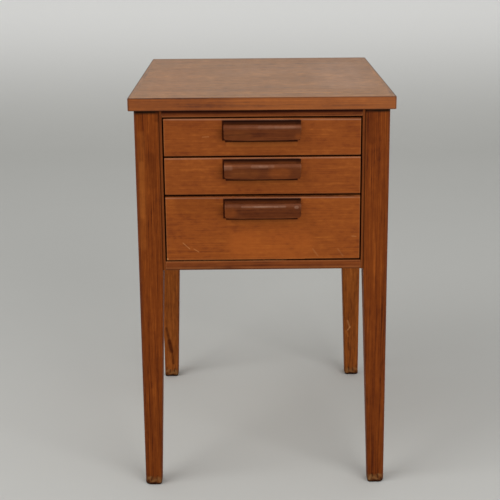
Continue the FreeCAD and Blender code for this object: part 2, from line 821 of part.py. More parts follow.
SUB_PARTS = (
    [top_board] + lippings + legs + side_panels
    + [back_panel, bottom_panel, bottom_front_rail, top_front_rail, top_rear_rail]
    + kickers + runners
    + [leg_dowels, rail_dowels, runner_screws, top_screws, back_panel_nails]
    + drawer_pieces
)

doc.recompute()

for obj in doc.Objects:
    if "Invalid" in obj.State or "Error" in obj.State:
        raise RuntimeError(f"{obj.Label} failed: {obj.State}")
for sub_part in SUB_PARTS:
    if sub_part.Shape.isNull() or not sub_part.Shape.isValid():
        raise RuntimeError(f"{sub_part.Label} has no valid shape")

os.makedirs("parts", exist_ok=True)
for sub_part in SUB_PARTS:
    sub_part.Shape.exportStep(f"parts/{sub_part.Label}.step")
    print(f"{sub_part.Label}: {len(sub_part.Shape.Solids)} solids, "
          f"{sub_part.Shape.Volume / 1000:.1f} cm3")
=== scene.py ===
"""A small three-drawer nightstand of reddish wood, seen from the front and slightly above.

Metres, +Z up, the front faces -Y. The pieces come from the frame, and this script gives each of
them its wood or metal, and makes the floor, the light and the camera.
"""
import math

import bpy
from mathutils import Matrix, Vector


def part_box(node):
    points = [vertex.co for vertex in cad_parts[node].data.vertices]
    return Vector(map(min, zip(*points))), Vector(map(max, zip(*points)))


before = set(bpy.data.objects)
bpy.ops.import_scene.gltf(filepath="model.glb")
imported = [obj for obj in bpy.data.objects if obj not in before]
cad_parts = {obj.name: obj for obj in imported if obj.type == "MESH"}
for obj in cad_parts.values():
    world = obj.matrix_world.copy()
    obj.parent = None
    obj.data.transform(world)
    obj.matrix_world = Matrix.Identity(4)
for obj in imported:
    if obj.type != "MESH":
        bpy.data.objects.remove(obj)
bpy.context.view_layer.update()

MM = 0.001
FAR = 1.0


def srgb(red, green, blue):
    """A colour picked on the screen, from 0 to 255, as linear RGBA by the sRGB curve."""
    levels = []
    for level in (red, green, blue):
        part = level / 255
        levels.append(part / 12.92 if part <= 0.04045 else ((part + 0.055) / 1.055) ** 2.4)
    return (*levels, 1.0)


class Graph:
    """The nodes of one material."""

    # The mix node's sockets for colours share their names with those for numbers
    MIX_FIRST = 6
    MIX_SECOND = 7
    MIX_RESULT = 2

    def __init__(self, name):
        self.material = bpy.data.materials.new(name)
        self.material.use_nodes = True
        self.tree = self.material.node_tree
        self.tree.nodes.clear()
        self.shader = self.tree.nodes.new("ShaderNodeBsdfPrincipled")
        output = self.tree.nodes.new("ShaderNodeOutputMaterial")
        self.tree.links.new(self.shader.outputs["BSDF"], output.inputs["Surface"])

    def set(self, node, socket, value):
        """Links an output to a socket, or sets the socket's own value."""
        if isinstance(value, bpy.types.NodeSocket):
            self.tree.links.new(value, node.inputs[socket])
        else:
            node.inputs[socket].default_value = value

    def math(self, operation, first, second=0.0, third=0.0, clamp=False):
        node = self.tree.nodes.new("ShaderNodeMath")
        node.operation = operation
        node.use_clamp = clamp
        for index, value in enumerate((first, second, third)):
            self.set(node, index, value)
        return node.outputs[0]

    def vector_math(self, operation, first, second=(0.0, 0.0, 0.0), result="Vector"):
        node = self.tree.nodes.new("ShaderNodeVectorMath")
        node.operation = operation
        self.set(node, 0, first)
        self.set(node, 1, second)
        return node.outputs[result]

    def ramp_value(self, value, low, high, start=0.0, end=1.0):
        """Maps value smoothly from low..high to start..end."""
        node = self.tree.nodes.new("ShaderNodeMapRange")
        node.interpolation_type = "SMOOTHSTEP"
        self.set(node, "Value", value)
        for socket, number in (("From Min", low), ("From Max", high), ("To Min", start),
                               ("To Max", end)):
            self.set(node, socket, number)
        return node.outputs["Result"]

    def fade(self, distance, reach):
        """From 1 at no distance down to 0 at the reach."""
        return self.math("SUBTRACT", 1.0, self.math("DIVIDE", distance, reach), clamp=True)

    def mix(self, factor, first, second):
        node = self.tree.nodes.new("ShaderNodeMix")
        node.data_type = "RGBA"
        self.set(node, "Factor", factor)
        self.set(node, self.MIX_FIRST, first)
        self.set(node, self.MIX_SECOND, second)
        return node.outputs[self.MIX_RESULT]

    def lay_over(self, colour, amount, strength, cover):
        """Covers a colour with another, as far as the amount times the strength says."""
        return self.mix(self.math("MULTIPLY", amount, strength), colour, cover)

    def coordinates(self):
        """The point in the object's own frame, in metres, as x, y and z."""
        source = self.tree.nodes.new("ShaderNodeTexCoord")
        split = self.tree.nodes.new("ShaderNodeSeparateXYZ")
        self.tree.links.new(source.outputs["Object"], split.inputs[0])
        return split.outputs[0], split.outputs[1], split.outputs[2]

    def vector(self, x, y, z):
        node = self.tree.nodes.new("ShaderNodeCombineXYZ")
        for index, value in enumerate((x, y, z)):
            self.set(node, index, value)
        return node.outputs[0]

    def noise(self, vector, scales, detail=2.0, roughness=0.6):
        """Noise between 0 and 1, its scale given along each axis in cycles per metre."""
        node = self.tree.nodes.new("ShaderNodeTexNoise")
        self.set(node, "Vector", self.vector_math("MULTIPLY", vector, scales))
        self.set(node, "Scale", 1.0)
        self.set(node, "Detail", detail)
        self.set(node, "Roughness", roughness)
        return node.outputs["Fac"]

    def box_distance(self, place, near, far):
        """How far a place lies outside a box."""
        middle = tuple((a + b) / 2 for a, b in zip(near, far))
        half = tuple((b - a) / 2 for a, b in zip(near, far))
        offset = self.vector_math("ABSOLUTE", self.vector_math("SUBTRACT", place, middle))
        outside = self.vector_math("MAXIMUM", self.vector_math("SUBTRACT", offset, half))
        return self.vector_math("LENGTH", outside, result="Value")

    def stroke_distance(self, place, start, end):
        """How far a place lies from a straight stroke."""
        run = Vector(end) - Vector(start)
        offset = self.vector_math("SUBTRACT", place, start)
        share = self.vector_math("DOT_PRODUCT", offset, tuple(run / run.length_squared), "Value")
        share = self.math("ADD", share, 0.0, clamp=True)
        nearest = self.vector_math("MULTIPLY", self.vector(share, share, share), tuple(run))
        return self.vector_math("LENGTH", self.vector_math("SUBTRACT", offset, nearest),
                                result="Value")

    def bump(self, height, distance):
        node = self.tree.nodes.new("ShaderNodeBump")
        node.inputs["Strength"].default_value = 1.0
        node.inputs["Distance"].default_value = distance
        self.set(node, "Height", height)
        self.set(self.shader, "Normal", node.outputs["Normal"])


# How each kind of wood looks: colours picked on the screen, and how strong each feature is
TEAK = {
    "light": srgb(153, 83, 33),
    "middle": srgb(133, 68, 26),
    "dark": srgb(115, 55, 22),
    "worn": srgb(184, 118, 72),
    # The colour of dirt, and of the painted shade in gaps, joints, recesses and under parts
    "shade_and_grime": srgb(42, 7, 0),
    "rings": 0.08, "streaks": 0.12, "fine": 0.3, "clouds": 0.24, "mottle": 0.26,
    "cloud_size": (16.0, 34.0, 34.0),
    "mottle_size": (90.0, 190.0, 190.0),
    "pores": 0.35,
    "rough": 0.46,
    "specular": 0.05,
    "wear": 0.3,
}
WOODS = {
    "front": TEAK,
    "lower_front": dict(TEAK, light=srgb(157, 86, 33), middle=srgb(137, 70, 26)),
    "lipping": dict(TEAK, light=srgb(156, 84, 26), middle=srgb(130, 66, 14),
                    dark=srgb(92, 41, 7), worn=srgb(52, 22, 8), wear=0.6, rough=0.4,
                    specular=0.3, rings=0.1, streaks=0.3, fine=0.26, clouds=0.2, mottle=0.14),
    # Paler and greyer than the fronts: partly the top's own wood, partly a painted sheen
    "top": dict(TEAK, light=srgb(196, 136, 80), middle=srgb(150, 102, 60),
                dark=srgb(96, 60, 32), worn=srgb(52, 22, 8), wear=0.6, rough=0.4,
                specular=0.3, rings=0.12, streaks=0.24, fine=0.28, clouds=0.14, mottle=0.22,
                pores=0.5, cloud_size=(20.0, 14.0, 14.0), mottle_size=(70.0, 110.0, 110.0)),
    "leg": dict(TEAK, light=srgb(144, 74, 24), middle=srgb(112, 52, 14),
                dark=srgb(72, 28, 9), shade_and_grime=srgb(24, 11, 2), wear=0.12, rings=0.14,
                streaks=0.22, fine=0.38, clouds=0.14, mottle=0.12),
    # A lighter copy of the leg wood: painted light that makes up for the shade the case casts on
    # the rear legs
    "rear_leg": dict(TEAK, light=srgb(168, 95, 38), middle=srgb(136, 72, 26),
                     dark=srgb(96, 46, 18), shade_and_grime=srgb(24, 11, 2), wear=0.12, rings=0.14,
                     streaks=0.22, fine=0.38, clouds=0.14, mottle=0.12),
    "side": dict(TEAK, light=srgb(152, 83, 34), middle=srgb(131, 67, 26),
                 dark=srgb(104, 48, 18), rings=0.14, streaks=0.3, fine=0.3, clouds=0.16,
                 mottle=0.1, wear=0.08),
    "rail": dict(TEAK, light=srgb(138, 74, 31), middle=srgb(116, 58, 24),
                 dark=srgb(82, 37, 17), streaks=0.3, mottle=0.08),
    "pull": dict(TEAK, light=srgb(122, 66, 32), middle=srgb(100, 50, 23),
                 dark=srgb(70, 31, 15), worn=srgb(160, 112, 86), shade_and_grime=srgb(24, 3, 0),
                 rough=0.38, wear=0.15, specular=0.06, rings=0.14, streaks=0.2, fine=0.3,
                 clouds=0.2, mottle=0.16),
    "carcass": dict(TEAK, light=srgb(196, 158, 108), middle=srgb(178, 138, 90),
                    dark=srgb(150, 110, 66), worn=srgb(206, 172, 124), rough=0.65,
                    specular=0.16),
    "beech": dict(TEAK, light=srgb(218, 184, 136), middle=srgb(204, 168, 118),
                  dark=srgb(180, 142, 92), worn=srgb(226, 196, 150), rough=0.6, pores=0.2,
                  specular=0.16),
}

# Scales of the wood's features in cycles per metre, first along the grain
WAVER_SCALE = (2.2, 9.0, 9.0)
RING_SCALE = (1.0, 150.0, 1.0)
STREAK_SCALE = (4.0, 260.0, 260.0)
FINE_SCALE = (14.0, 1000.0, 1000.0)
PORE_SCALE = (45.0, 1500.0, 1500.0)
PATCH_SCALE = (40.0, 60.0, 60.0)

# Every piece is cut elsewhere along one endless board, with its pith in one of five places
BOARD_SHIFT = 0.731
PITH_ASIDE = 0.035
PITH_STEP = 0.011
PITH_PLACES = 5
PITH_BEHIND = 0.11
RING_WAVER = 0.03
RING_STRETCH = 0.02

# The tones at which the wood is dark, middling and light, and the noise that makes a pore
DARK_TONE = 0.38
MIDDLE_TONE = 0.5
LIGHT_TONE = 0.64
PORE_START = 0.58
PORE_FULL = 0.72

# How far wear and the dirt with painted shade reach, the least and what patches add, the dirt's
# and shade's as shares of its spread
WEAR_LEAST = 0.2 * MM
WEAR_MORE = 3.2 * MM
SHADE_AND_DIRT_LEAST = 0.4
SHADE_AND_DIRT_MORE = 1.2

# A stroke is full up to this share of its radius, and thinner where the patches are low
STROKE_CORE = 0.3
STROKE_PATCHES = (0.25, 0.6)
STROKE_THINNEST = 0.35

# How streaks and pores change the roughness and the height, and the height's size in metres
STREAK_ROUGHNESS = 0.16
MEAN_STREAK_ROUGHNESS = 0.04
PORE_ROUGHNESS = 0.15
PORE_DEPTH = -0.8
RELIEF = 0.00005
FACE_TURN = 0.6 * MM


def growth_rings(graph, along, across, through, waver, seed):
    """Bands of uneven width round a pith that lies outside the board."""
    aside = graph.math("ADD", across, PITH_ASIDE + PITH_STEP * (seed % PITH_PLACES))
    behind = graph.math("ADD", through, PITH_BEHIND)
    squares = graph.math("MULTIPLY_ADD", aside, aside, graph.math("MULTIPLY", behind, behind))
    radius = graph.math("MULTIPLY_ADD", waver, RING_WAVER, graph.math("SQRT", squares))
    slow = graph.math("MULTIPLY", along, RING_STRETCH)
    return graph.noise(graph.vector(slow, radius, seed * BOARD_SHIFT), RING_SCALE)


def tinted(graph, look, tone, pores):
    """The colour that a kind of wood has at a tone, with its pores."""
    shade = graph.mix(graph.ramp_value(tone, DARK_TONE, MIDDLE_TONE), look["dark"], look["middle"])
    shade = graph.mix(graph.ramp_value(tone, MIDDLE_TONE, LIGHT_TONE), shade, look["light"])
    return graph.lay_over(shade, pores, look["pores"], look["dark"])


def edge_distance(graph, axes, box):
    """How far a place lies from the nearest edge of a box.

    It is the middle one of the three distances to the box's faces.
    """
    distances = []
    for letter, start, end in zip("XYZ", *box):
        from_start = graph.math("SUBTRACT", axes[letter], start)
        to_end = graph.math("SUBTRACT", end, axes[letter])
        distances.append(graph.math("ABSOLUTE", graph.math("MINIMUM", from_start, to_end)))
    first, second, third = distances
    nearer = graph.math("MINIMUM", first, second)
    farther = graph.math("MAXIMUM", first, second)
    return graph.math("MAXIMUM", nearer, graph.math("MINIMUM", farther, third))


def wood(name, kind, grain, box, seed, shade_and_grime=(), marks=(), face_up=None):
    """Wood whose grain runs along an axis, with wear at the edges, painted shade and dirt near
    some boxes, and marks.

    The darkening boxes come as (box, spread, strength): how far painted shade and dirt spread out
    from that box. marks holds (start, end, radius, colour, strength): thin strokes, some of them
    painted highlights, light and shade. face_up holds (kind, height): what the wood looks like
    above a height; on the lippings that is the top's paler colour, partly a painted sheen.
    """
    look = WOODS[kind]
    graph = Graph(name)
    axes = dict(zip("XYZ", graph.coordinates()))
    place = graph.vector(*axes.values())
    along = axes[grain]
    across, through = (axes[letter] for letter in "XYZ" if letter != grain)
    point = graph.vector(graph.math("ADD", along, seed * BOARD_SHIFT), across, through)

    waver = graph.noise(point, WAVER_SCALE, detail=3.0, roughness=0.5)
    streaks = graph.noise(point, STREAK_SCALE)
    features = {
        "rings": growth_rings(graph, along, across, through, waver, seed),
        "streaks": streaks,
        "fine": graph.noise(point, FINE_SCALE),
        "clouds": graph.noise(point, look["cloud_size"], detail=3.0),
        "mottle": graph.noise(point, look["mottle_size"]),
    }
    tone = 0.0
    for feature, field in features.items():
        tone = graph.math("MULTIPLY_ADD", field, look[feature], tone)
    pores = graph.noise(point, PORE_SCALE, detail=1.0, roughness=0.5)
    pores = graph.ramp_value(pores, PORE_START, PORE_FULL)

    colour = tinted(graph, look, tone, pores)
    # Above the height the lippings take the top's paler colour, partly a painted sheen
    if face_up:
        upper_kind, height = face_up
        above = graph.ramp_value(axes["Z"], height - FACE_TURN, height)
        colour = graph.mix(above, colour, tinted(graph, WOODS[upper_kind], tone, pores))

    patchy = graph.noise(point, PATCH_SCALE, detail=6.0, roughness=0.66)
    reach = graph.math("MULTIPLY_ADD", patchy, WEAR_MORE, WEAR_LEAST)
    worn = graph.fade(edge_distance(graph, axes, box), reach)
    colour = graph.lay_over(colour, worn, look["wear"], look["worn"])
    # Painted shade in gaps, joints, recesses and under parts, and dirt, darken the colour round
    # each box
    for (near, far), spread, strength in shade_and_grime:
        reach = graph.math("MULTIPLY_ADD", patchy, SHADE_AND_DIRT_MORE * spread, SHADE_AND_DIRT_LEAST * spread)
        shade_and_dirt = graph.fade(graph.box_distance(place, near, far), reach)
        colour = graph.lay_over(colour, shade_and_dirt, strength, look["shade_and_grime"])
    for start, end, radius, paint, strength in marks:
        distance = graph.stroke_distance(place, start, end)
        drawn = graph.ramp_value(distance, STROKE_CORE * radius, radius, 1.0, 0.0)
        thinned = graph.ramp_value(patchy, *STROKE_PATCHES, STROKE_THINNEST, 1.0)
        colour = graph.lay_over(colour, graph.math("MULTIPLY", drawn, thinned), strength, paint)

    graph.set(graph.shader, "Base Color", colour)
    graph.set(graph.shader, "Specular IOR Level", look["specular"])
    rough = graph.math("MULTIPLY_ADD", streaks, STREAK_ROUGHNESS,
                       look["rough"] - MEAN_STREAK_ROUGHNESS)
    graph.set(graph.shader, "Roughness",
              graph.math("MULTIPLY_ADD", pores, PORE_ROUGHNESS, rough))
    graph.bump(graph.math("MULTIPLY_ADD", pores, PORE_DEPTH, streaks), RELIEF)
    return graph.material


BRIGHT_STEEL = srgb(176, 172, 166)
DULL_STEEL = srgb(120, 116, 110)
STEEL_SCALE = (400.0, 400.0, 400.0)


def steel(name):
    """Steel wire and screws, dulled a little unevenly."""
    graph = Graph(name)
    point = graph.vector(*graph.coordinates())
    dull = graph.noise(point, STEEL_SCALE, detail=3.0, roughness=0.5)
    graph.set(graph.shader, "Base Color", graph.mix(dull, BRIGHT_STEEL, DULL_STEEL))
    graph.set(graph.shader, "Roughness", graph.ramp_value(dull, 0.2, 0.8, start=0.28, end=0.5))
    graph.shader.inputs["Metallic"].default_value = 1.0
    return graph.material


def look_of(node):
    """The kind of wood and the grain's direction of a node, or None for metal."""
    if node.endswith(("screws", "nails")):
        return None
    if node == "top_board":
        return "top", "X"
    if node.startswith("top_lipping"):
        return "lipping", "X" if node.endswith(("front", "back")) else "Y"
    if node == "leg_dowels":
        return "beech", "Y"
    if node == "rail_dowels":
        return "beech", "X"
    if node.startswith("leg_"):
        # The rear legs take the lighter copy of the leg wood, painted light against the case's
        # shade
        return ("rear_leg" if "rear" in node else "leg"), "Z"
    if node.startswith("side_panel"):
        return "side", "Z"
    if node in ("top_front_rail", "bottom_front_rail"):
        return "rail", "X"
    if node == "lower_drawer_front":
        return "lower_front", "X"
    if node.endswith("_drawer_front"):
        return "front", "X"
    if node.endswith("_pull"):
        return "pull", "X"
    if "_runner_" in node or "_drawer_side_" in node:
        return "beech", "Y"
    if node.endswith("_drawer_back"):
        return "beech", "X"
    if node.startswith("kicker"):
        return "carcass", "Y"
    return "carcass", "X"


# Places and measures that several pieces share, in metres
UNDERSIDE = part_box("top_board")[0][2]
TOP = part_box("top_board")[1][2]
TOP_RIGHT, TOP_BACK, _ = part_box("top_lipping_back")[1]
INNER_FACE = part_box("leg_front_right")[0][0]
CASE_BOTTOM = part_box("side_panel_left")[0][2]
LEG_TAPER = 11.2 * MM

# Colours of marks, some of them painted highlights, light and shade
# A painted highlight along lit edges
EDGE_HIGHLIGHT = srgb(166, 122, 98)
# Light scratches, and painted light on the bottom rail's top face in the gap
SCRATCH_AND_LIGHT = srgb(196, 136, 84)
# Dark nicks, and painted shade in the gaps along the drawer fronts
NICK_AND_GAP_SHADE = srgb(40, 12, 2)
# A painted highlight on the pulls' lips and lower edges, partly rubbed wear
RUBBED_HIGHLIGHT = srgb(156, 112, 88)
# A stain, and painted shade along the top's back
STAIN_AND_SHADE = srgb(96, 62, 38)
# Dark figure, and painted shade on the front legs and the lipping's left
FIGURE_AND_SHADE = srgb(70, 26, 5)
# Pale wood, and painted light on the front legs' outer sides, the lipping's right and below the
# pulls
PALE = srgb(178, 104, 44)
BRIGHT = srgb(172, 90, 34)
GLINT = srgb(190, 150, 126)
SCUFF = srgb(142, 102, 60)


def region(left=-FAR, front=-FAR, bottom=-FAR, right=FAR, back=FAR, top=FAR):
    """A box that reaches past the nightstand wherever no side of it is given."""
    return (left, front, bottom), (right, back, top)


FLOOR = region(top=0)
SOLE = region(top=2 * MM)
UNDER_TOP = region(bottom=UNDERSIDE - 2.6 * MM)
CASE = region(left=-INNER_FACE, right=INNER_FACE, bottom=CASE_BOTTOM)

# How far down from a pull's top edge its groove gets painted shade, in millimetres, and how
# strongly
GROOVE_SHADE = {"upper_pull": (3.8, 0.7), "middle_pull": (2.2, 0.6), "lower_pull": (2, 0.55)}

# Where the painted shade along a drawer front's bottom edge starts, if not at its left end
DARK_FROM = {"lower_drawer_front": 60 * MM}


def front_shade(node):
    """Painted shade on a drawer front: behind and beneath its pull, where its shadow falls, and
    along its edges.
    """
    (_, y, foot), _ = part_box(node)
    (x0, y0, z0), (x1, y1, z1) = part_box(node.replace("drawer_front", "pull"))
    # A painted shadow left of and beneath the pull, and painted shade along the bottom edge and on
    # the edges inside the gaps
    behind = ((x0 - 2 * MM, y0, z0 - 0.4 * MM), (x1 - 2 * MM, y1, z1 + 0.2 * MM))
    beneath = ((x0 + 2 * MM, y0, z0 - 2.8 * MM), (x1 - 5 * MM, y1, z0))
    bottom = region(left=DARK_FROM.get(node, -FAR), top=foot + 0.3 * MM)
    edges = region(front=y + 1.8 * MM, back=y + 5 * MM, bottom=foot + 3 * MM)
    return [(behind, 1.2 * MM, 0.9), (beneath, 1.2 * MM, 0.95), (bottom, 1.1 * MM, 0.9),
            (edges, 1 * MM, 0.6)]


def pull_shade(node):
    """Painted shade on a pull: in its groove, at its seam, at its upper right corner and at its
    foot.
    """
    (x0, y0, z0), (x1, y1, z1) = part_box(node)
    reach, strength = GROOVE_SHADE[node]
    # Painted shade in the groove, at the seam and the upper right corner, and a painted shadow
    # line at the foot
    groove = ((x0 - 1 * MM, y0 + 11 * MM, z1 - reach * MM), (x1 + 1 * MM, y1, z1 + 1 * MM))
    seam = region(front=y0 + 9 * MM, bottom=z1 - 1.2 * MM)
    corner = region(left=x1 - 5 * MM, front=y0 + 6 * MM, bottom=z1 - 8 * MM)
    foot = region(top=z0 + 0.2 * MM)
    return [(groove, 3 * MM, strength), (seam, 1.4 * MM, 0.85), (corner, 4 * MM, 0.35),
            (foot, 0.9 * MM, 0.8)]


def shade_and_grime_of(node):
    """The boxes round which a node is darkened, how far and how strongly: painted shade, and the
    feet darker towards the floor.
    """
    (_, y, z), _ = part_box(node)
    if node.endswith("_drawer_front"):
        return front_shade(node)
    if node.endswith("_pull"):
        return pull_shade(node)
    if node.startswith("side_panel"):
        # Painted shade on the panel's front edge, and where it meets the legs
        side = node.rsplit("_", 1)[1]
        legs = [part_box(f"leg_{end}_{side}") for end in ("front", "rear")]
        return [(region(back=y + 0.5 * MM), 2.5 * MM, 0.36)] + [
            (leg, 1.5 * MM, 0.8) for leg in legs]
    if node == "top_front_rail":
        # Painted shade under the top's overhang and in the gap above the upper drawer
        return [(UNDER_TOP, 3 * MM, 0.95), (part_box("top_lipping_front"), 9 * MM, 0.45),
                (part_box("upper_drawer_front"), 1.6 * MM, 0.6)]
    if node == "bottom_front_rail":
        # Painted shade in the gap under the lower drawer and along the rail's own bottom edge
        return [(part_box("lower_drawer_front"), 1.6 * MM, 0.6),
                (region(top=z + 1 * MM), 1.8 * MM, 0.5)]
    if node == "top_lipping_front":
        # Painted shade along the lipping's lower edge
        return [(region(top=UNDERSIDE), 1.6 * MM, 0.7)]
    if node.startswith("leg_"):
        # Darker towards the floor, and painted shade under the top and where the legs meet the
        # case
        return [(FLOOR, 18 * MM, 0.6), (SOLE, 3 * MM, 0.95), (UNDER_TOP, 3 * MM, 0.95),
                (CASE, 1.6 * MM, 0.5)]
    return []


# Strokes on the faces that look forward, in millimetres: x and height of one end and of the
# other, and radius, then colour and strength. Heights are measured from the top edge of a drawer
# front or of the lipping, and from the foot of a pull or a leg.
# Besides scratches, nicks and figure, they hold painted highlights on lit edges and lips, painted
# shade in the gaps, and painted light and shade on the front legs and the lipping.
MARKS = {
    "upper_drawer_front": (
        # Painted highlight along the lit top edge, painted shade in the gap above, then a scratch
        (-138.6, -1, 138.6, -2.8, 1.3, EDGE_HIGHLIGHT, 0.45),
        (-60, 1.6, 138.6, -0.5, 1.3, NICK_AND_GAP_SHADE, 0.85),
        (-83.5, -25.8, -74.5, -25.4, 0.7, SCRATCH_AND_LIGHT, 0.45),
    ),
    "middle_drawer_front": (
        # Painted highlight along the lit top edge, and painted shade in the gap below
        (-138.6, -1.2, 138.6, -1.2, 1.3, EDGE_HIGHLIGHT, 0.45),
        (-138.6, -52.9, 20, -52.9, 1.4, NICK_AND_GAP_SHADE, 0.85),
    ),
    "lower_drawer_front": (
        # Painted highlight along the lit top edge, painted shade in the gap above, then a lighter
        # patch, a darker patch and scratches
        (-138.6, -2.4, 138.6, -3.2, 1.4, EDGE_HIGHLIGHT, 0.4),
        (-138.6, 0.3, 138.6, -1, 1.5, NICK_AND_GAP_SHADE, 0.9),
        (-30, -70.9, 50, -70.9, 30, BRIGHT, 0.35),
        (-110, -12, -70, -12, 26, FIGURE_AND_SHADE, 0.2),
        (-113.9, -67.5, -104.2, -76.4, 0.8, SCRATCH_AND_LIGHT, 0.6),
        (-98.5, -76.5, -91.4, -81, 0.8, SCRATCH_AND_LIGHT, 0.45),
        (-136.5, -90.8, -136, -91, 1.6, SCRATCH_AND_LIGHT, 0.9),
        (70.9, -78.2, 78.1, -88.6, 1.6, SCRATCH_AND_LIGHT, 0.16),
        (106.6, -78.6, 113.8, -89, 1.6, SCRATCH_AND_LIGHT, 0.16),
        (126.3, -59.7, 132, -60.2, 1.2, SCRATCH_AND_LIGHT, 0.35),
    ),
    "upper_pull": (
        # Painted highlights along the lip, then a pale patch and a lighter lower right corner
        (-4, 19.6, 50, 19.6, 3.6, GLINT, 0.08),
        (18, 19.8, 44, 19.8, 2.6, GLINT, 0.08),
        (-50, 9, -20, 9, 9, PALE, 0.1),
        (50, 5, 52, 5, 8, BRIGHT, 0.3),
    ),
    "middle_pull": (
        # A painted highlight at the left end and along the lip, a nick, then lighter patches
        (-52, 18, -45, 18, 5, GLINT, 0.16),
        (-14, 19.6, 14, 19.6, 3.6, GLINT, 0.13),
        (-4, 19.8, 6, 19.8, 2.4, GLINT, 0.12),
        (-3, 22.4, 0, 22.4, 1.6, NICK_AND_GAP_SHADE, 0.8),
        (18, 9, 30, 9, 14, BRIGHT, 0.24),
        (-40, 8, -10, 8, 9, PALE, 0.1),
    ),
    "lower_pull": (
        # Painted highlights along the lip and at the right end, a darker patch, a rubbed lower
        # edge with a painted highlight, and a lighter patch
        (-29, 18.8, 31, 18.8, 2.2, GLINT, 0.2),
        (-12, 18.8, 20, 18.8, 1.8, GLINT, 0.16),
        (46, 17.5, 48, 17.5, 3.2, GLINT, 0.3),
        (-24, 6, 52, 6, 9, FIGURE_AND_SHADE, 0.3),
        (-52, 2.6, 52, 2.6, 1.8, RUBBED_HIGHLIGHT, 0.22),
        (8, 2.6, 27, 2.6, 1.8, GLINT, 0.2),
        (-52, 9, -44, 9, 12, BRIGHT, 0.25),
    ),
    "leg_front_left": (
        # A darker patch at the foot, painted light on the outer side, darker figure with painted
        # shade on the inner side, and painted shade under the top
        (-166, 10, -166, 90, 70, FIGURE_AND_SHADE, 0.16),
        (-168.4, 530, -170.6, 370, 9, PALE, 0.16),
        (-169.2, 490, -170.4, 415, 6, PALE, 0.2),
        (-155.8, 500, -154.5, 460, 10, FIGURE_AND_SHADE, 0.4),
        (-143, 564, -145, 552, 6, FIGURE_AND_SHADE, 0.6),
    ),
    "leg_front_right": (
        # A darker patch at the foot, and painted shade on the inner side under the top
        (166, 10, 166, 90, 70, FIGURE_AND_SHADE, 0.16),
        (149, 558, 152.3, 520, 9, FIGURE_AND_SHADE, 0.4),
    ),
    "leg_rear_left": (
        (-173.5, 95, -168, 66, 3.6, FIGURE_AND_SHADE, 0.8),
        (-169, 70, -165.5, 50, 5.4, FIGURE_AND_SHADE, 0.85),
        (-165, 52, -162.5, 26, 3.4, FIGURE_AND_SHADE, 0.7),
    ),
    "leg_rear_right": (
        (158, 106.5, 162.2, 93.6, 2.2, SCRATCH_AND_LIGHT, 0.36),
        (162.7, 94.6, 158, 87.8, 1.6, SCRATCH_AND_LIGHT, 0.5),
        (156, 86, 159, 76, 2.6, PALE, 0.4),
        (160, 62, 161.2, 48.9, 2.4, FIGURE_AND_SHADE, 0.5),
    ),
    "top_lipping_front": (
        # Nicks on the upper edge, then painted shade towards the left and painted light towards
        # the right
        (-144, 0, -140, 0, 1.5, NICK_AND_GAP_SHADE, 0.6),
        (58, 0, 66, 0, 1.3, NICK_AND_GAP_SHADE, 0.7),
        (71, 0, 76, 0, 1.3, NICK_AND_GAP_SHADE, 0.7),
        (-185.5, -9, -110, -9, 40, FIGURE_AND_SHADE, 0.14),
        (-20, -9, 185.5, -9, 50, PALE, 0.18),
    ),
}

# Scuffs on a foot, in the same way, but x is measured out from the foot's middle
FOOT_MIDDLE = 166.5
FOOT_SCUFFS = (
    (-12, 8, 12, 9, 7, SCUFF, 0.3),
    (-10, 5, -7, 12, 2.6, SCUFF, 0.5),
    (-4, 9, 1, 6, 2.6, SCUFF, 0.4),
    (4, 13, 10, 10, 2.4, SCUFF, 0.5),
    (-6, 15, -5, 10, 1.6, NICK_AND_GAP_SHADE, 0.8),
    (2, 13, 3, 8, 1.6, NICK_AND_GAP_SHADE, 0.8),
    (8, 18, 9, 13, 1.4, NICK_AND_GAP_SHADE, 0.6),
    (-3, 3, 5, 1, 3.4, NICK_AND_GAP_SHADE, 0.9),
    (8, 6, 12, 3, 3.6, NICK_AND_GAP_SHADE, 0.85),
    (-12, 2, -9, 1, 2.4, NICK_AND_GAP_SHADE, 0.7),
)

# Patches on the top, in millimetres: x and y of both ends and radius, then colour and strength. A
# stain, a pale patch, and two glints of painted sheen
TOP_PATCHES = (
    (60, -55, 80, -20, 40, STAIN_AND_SHADE, 0.22),
    (125, -120, 125, 140, 60, GLINT, 0.2),
    (-20, 50, 40, 90, 70, GLINT, 0.1),
    (-130, -160, -130, 60, 60, PALE, 0.1),
)
BACK_SHADE = ((-TOP_RIGHT, TOP_BACK, TOP), (TOP_RIGHT, TOP_BACK, TOP), 24 * MM, STAIN_AND_SHADE, 0.34)


def strokes(rows, y, base, slope=0.0):
    """The marks that rows hold, on a face that leans back by the slope below the case."""
    def on_face(x, up):
        z = base + up * MM
        return x * MM, y + slope * (CASE_BOTTOM - z), z

    return [(on_face(a, low), on_face(b, high), radius * MM, colour, strength)
            for a, low, b, high, radius, colour, strength in rows]


def leg_marks(node, y):
    """Figure and scratches on a leg's front face, with painted light and shade on the front legs,
    and scuffs on its foot.
    """
    side = 1 if node.endswith("right") else -1
    slope = LEG_TAPER / CASE_BOTTOM if "rear" in node else 0.0
    scuffs = [(side * (FOOT_MIDDLE + a), low, side * (FOOT_MIDDLE + b), high, *rest)
              for a, low, b, high, *rest in FOOT_SCUFFS]
    return strokes((*MARKS[node], *scuffs), y, 0.0, slope)


def front_marks(node, y, top):
    """A drawer front's own marks, and painted light below its pull, where the pull's shadow ends.
    """
    (left, _, foot), (right, _, _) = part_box(node.replace("drawer_front", "pull"))
    z = foot - 6.5 * MM
    strength = 0.3 if node.startswith("upper") else 0.14
    # Painted light below the pull, where its shadow ends
    below = ((left + 6 * MM, y, z), (right - 8 * MM, y, z), 5 * MM, PALE, strength)
    return [*strokes(MARKS[node], y, top), below]


